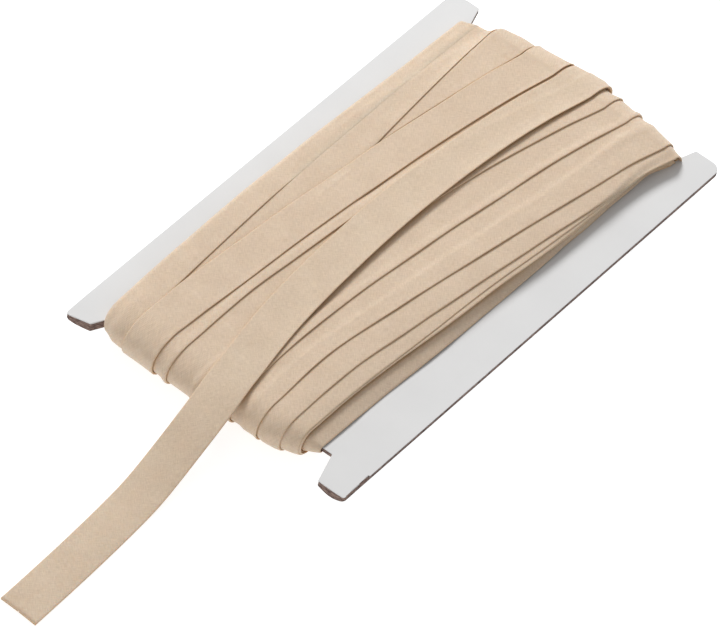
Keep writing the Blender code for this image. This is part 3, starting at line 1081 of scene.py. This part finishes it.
def mark_materials(bm):
    """White paper on both faces and over the rim of the upper one, and the core's brown elsewhere."""
    for f in bm.faces:
        middle = f.calc_center_median()
        share = (middle.z - CARD_BOTTOM) / CARD_THICK
        on_face = abs(f.normal.z) > FACE_NORMAL
        on_paper = share > 1 - PAPER / CARD_THICK
        worn = middle.x > worn_from(middle.y) and share > 0.5
        f.material_index = 1 if worn or not (on_face or on_paper) else 0
        f.smooth = True


def bend_tips(bm):
    """Bends and swells the near tips, and takes down the worn edge."""
    for v in bm.verts:
        share = (v.co.z - CARD_BOTTOM) / CARD_THICK
        x, y = v.co.x, v.co.y
        v.co.z += upper_sag(x, y) * share + lower_sag(x, y) * (1 - share)
        past = x - worn_from(y)
        if past > 0 and share > WORN_ABOVE:
            v.co.z -= (WORN_DEPTH + past * WORN_SLOPE) * (share - WORN_ABOVE) / (1 - WORN_ABOVE)


def build_card():
    """The board: a white face on both sides of a thick fibrous core whose cut edge is rough."""
    bm = board_block()
    roughen_edge(bm)
    mark_materials(bm)
    bend_tips(bm)
    bmesh.ops.recalc_face_normals(bm, faces=bm.faces)
    data = bpy.data.meshes.new("board")
    bm.to_mesh(data)
    bm.free()
    data.set_sharp_from_angle(angle=CREASE_ANGLE)
    return link_object("board", data)


# Materials


class Shading:
    """A material whose shader has the given values, and short ways to make and link its nodes."""

    def __init__(self, name, values):
        self.material = bpy.data.materials.new(name)
        self.material.use_nodes = True
        self.nodes = self.material.node_tree.nodes
        self.links = self.material.node_tree.links
        self.sockets = self.nodes["Principled BSDF"].inputs
        for socket, value in values.items():
            self.sockets[socket].default_value = value

    def give(self, name, value):
        """Links a value to one of the shader's own sockets."""
        self.links.new(value, self.sockets[name])

    def math(self, operation, a, b=None):
        node = self.nodes.new("ShaderNodeMath")
        node.operation = operation
        for socket, value in zip(node.inputs, (a, b)):
            if isinstance(value, (int, float)):
                socket.default_value = value
            elif value is not None:
                self.links.new(value, socket)
        return node.outputs[0]

    def ramp(self, value, low, high):
        """A ramp between two stops, each a position and a colour."""
        node = self.nodes.new("ShaderNodeValToRGB")
        for element, (position, colour) in zip(node.color_ramp.elements, (low, high)):
            element.position = position
            element.color = (*colour, 1)
        self.links.new(value, node.inputs["Fac"])
        return node.outputs["Color"]

    def noise(self, vector, scale, detail, stretch=(1.0, 1.0, 1.0)):
        mapping = self.nodes.new("ShaderNodeMapping")
        mapping.inputs["Scale"].default_value = stretch
        self.links.new(vector, mapping.inputs["Vector"])
        texture = self.nodes.new("ShaderNodeTexNoise")
        texture.inputs["Scale"].default_value = scale
        texture.inputs["Detail"].default_value = detail
        self.links.new(mapping.outputs["Vector"], texture.inputs["Vector"])
        return texture.outputs["Fac"]

    def multiply_colours(self, first, second):
        node = self.nodes.new("ShaderNodeMix")
        node.data_type = "RGBA"
        node.blend_type = "MULTIPLY"
        node.inputs["Factor"].default_value = 1.0
        self.links.new(first, node.inputs["A"])
        self.links.new(second, node.inputs["B"])
        return node.outputs["Result"]

    def bump(self, height, strength, distance):
        node = self.nodes.new("ShaderNodeBump")
        node.inputs["Strength"].default_value = strength
        node.inputs["Distance"].default_value = distance
        self.links.new(height, node.inputs["Height"])
        self.give("Normal", node.outputs["Normal"])

    def object_place(self):
        return self.nodes.new("ShaderNodeTexCoord").outputs["Object"]


def bias_place(cotton):
    """The place on the tape, turned to the threads, which run at 45 degrees to it."""
    uv = cotton.nodes.new("ShaderNodeUVMap")
    uv.uv_map = "tape"
    turn = cotton.nodes.new("ShaderNodeMapping")
    turn.inputs["Rotation"].default_value = (0, 0, BIAS)
    cotton.links.new(uv.outputs["UV"], turn.inputs["Vector"])
    return turn.outputs["Vector"]


def weave_and_slubs(cotton, place):
    """The plain weave of both sets of threads, and their thicker stretches."""
    split = cotton.nodes.new("ShaderNodeSeparateXYZ")
    cotton.links.new(place, split.inputs["Vector"])
    wobble = cotton.noise(place, WOBBLE_SCALE, detail=2.0)
    drift = cotton.math("MULTIPLY", wobble, THREAD_DRIFT)
    threads = []
    for axis in ("X", "Y"):
        phase = cotton.math("MULTIPLY", split.outputs[axis], 2 * math.pi / THREAD_PITCH)
        threads.append(cotton.math("SINE", cotton.math("ADD", phase, drift)))
    weave = cotton.math("MULTIPLY", *threads)
    warp_slub = cotton.noise(place, SLUB_SCALE, detail=2.0, stretch=(*SLUB_STRETCH, 1.0))
    weft_slub = cotton.noise(place, SLUB_SCALE, detail=2.0, stretch=(*SLUB_STRETCH[::-1], 1.0))
    slubs = cotton.math("MULTIPLY", cotton.math("ADD", warp_slub, weft_slub), 0.5)
    return weave, slubs


def paint_fold_warmth(cotton):
    # Painted shade: the colour is warmer and a little darker close to a folded edge
    fold = cotton.nodes.new("ShaderNodeAttribute")
    fold.attribute_name = "fold"
    inside = cotton.math("DIVIDE", fold.outputs["Fac"], FOLD_WIDTH)
    return cotton.ramp(inside, (0.0, PAINTED_FOLD_WARMTH), (1.0, WHITE))


def paint_hollow_shade(cotton):
    # Painted shade: darker and warmer colour where other laps close the cloth in
    open_to_light = cotton.nodes.new("ShaderNodeAmbientOcclusion")
    open_to_light.samples = HOLLOW_RAYS
    open_to_light.inputs["Distance"].default_value = HOLLOW_REACH
    return cotton.ramp(open_to_light.outputs["AO"], PAINTED_HOLLOW_SHADE, HOLLOW_OPEN)


def cotton_material():
    """Sand cotton in a plain weave that runs on the bias, at 45 degrees to the tape."""
    cotton = Shading("sand_cotton", COTTON_VALUES)
    place = bias_place(cotton)
    weave, slubs = weave_and_slubs(cotton, place)
    cloud = cotton.noise(place, COTTON_CLOUD_SCALE, detail=3.0)
    tone = cotton.math("ADD", cotton.math("MULTIPLY", weave, WEAVE_IN_TONE), slubs)
    tone = cotton.math("ADD", tone, cotton.math("MULTIPLY", cloud, CLOUD_IN_TONE))
    colour = cotton.ramp(tone, COTTON_DARK, COTTON_LIGHT)
    # Painted warmth and shade at the folded edges
    colour = cotton.multiply_colours(colour, paint_fold_warmth(cotton))
    # Painted shade in the hollows between laps
    cotton.give("Base Color", cotton.multiply_colours(colour, paint_hollow_shade(cotton)))
    relief = cotton.math("ADD", cotton.math("MULTIPLY", weave, WEAVE_IN_RELIEF), slubs)
    cotton.bump(relief, strength=0.5, distance=RELIEF_DEPTH)
    return cotton.material


def board_materials():
    """White-lined board: its white face, and the brown fibrous core that shows where it is cut."""
    face = Shading("board_white_face", FACE_VALUES)
    cloud = face.noise(face.object_place(), FACE_CLOUD_SCALE, detail=5.0)
    face.give("Base Color", face.ramp(cloud, FACE_DARK, FACE_LIGHT))
    core = Shading("board_cut_edge", CORE_VALUES)
    fibres = core.noise(core.object_place(), FIBRE_SCALE, detail=5.0, stretch=FIBRE_STRETCH)
    core.give("Base Color", core.ramp(fibres, FIBRE_DARK, FIBRE_LIGHT))
    core.bump(fibres, strength=0.7, distance=FIBRE_DEPTH)
    return face.material, core.material


# Stage, light and camera


def build_camera():
    """The camera at the photograph's view: a long lens, far off, rolled a little."""
    a, e, roll = CAMERA_AZIMUTH, CAMERA_ELEVATION, CAMERA_ROLL
    level = Vector((math.cos(a), math.sin(a), 0))
    upright = Vector((-math.sin(a) * math.sin(e), math.cos(a) * math.sin(e), math.cos(e)))
    forward = Vector((-math.sin(a) * math.cos(e), math.cos(a) * math.cos(e), -math.sin(e)))
    right = level * math.cos(roll) + upright * math.sin(roll)
    up = upright * math.cos(roll) - level * math.sin(roll)
    data = bpy.data.cameras.new("camera")
    data.lens = CAMERA_LENS
    data.sensor_width = CAMERA_SENSOR
    camera = link_object("camera", data)
    turn = Matrix((right, up, -forward)).transposed().to_4x4()
    camera.matrix_world = Matrix.Translation(CAMERA_TARGET - forward * CAMERA_DISTANCE) @ turn
    bpy.context.scene.camera = camera


def area_light(name, place, target, size, power, colour):
    data = bpy.data.lights.new(name, "AREA")
    data.shape = "DISK"
    data.size = size
    data.energy = power
    data.color = colour
    light = link_object(name, data)
    light.location = place
    light.rotation_mode = "QUATERNION"
    light.rotation_quaternion = (Vector(target) - Vector(place)).to_track_quat("-Z", "Y")


def build_stage():
    """A white floor under a soft sky, with a broad key from the back left and a warm fill in front."""
    bpy.ops.mesh.primitive_plane_add(size=FLOOR_SIZE, location=(0, 0, -FLOOR_DROP))
    floor = bpy.context.object
    floor.name = "floor"
    floor.data.materials.append(Shading("white_floor", FLOOR_VALUES).material)
    world = bpy.data.worlds.new("studio")
    bpy.context.scene.world = world
    world.use_nodes = True
    sky = world.node_tree.nodes["Background"].inputs
    sky["Color"].default_value = SKY_COLOUR
    sky["Strength"].default_value = SKY_STRENGTH
    for values in LIGHTS:
        area_light(**dict(zip(LIGHT_COLUMNS, values)))
    bpy.context.scene.view_settings.view_transform = "Standard"


def main():
    cotton = cotton_material()
    left_laps, right_laps, loose_lap = build_winding()
    core = build_core()
    loose, loose_length = build_loose_end(loose_lap)
    card = build_card()
    for piece in (left_laps, right_laps, core, loose):
        piece.data.materials.append(cotton)
        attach(piece, "root")
    for material in board_materials():
        card.data.materials.append(material)
    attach(card, "root")
    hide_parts("winding")
    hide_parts("winding")
    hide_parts("loose_end")
    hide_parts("card")
    build_stage()
    build_camera()


main()
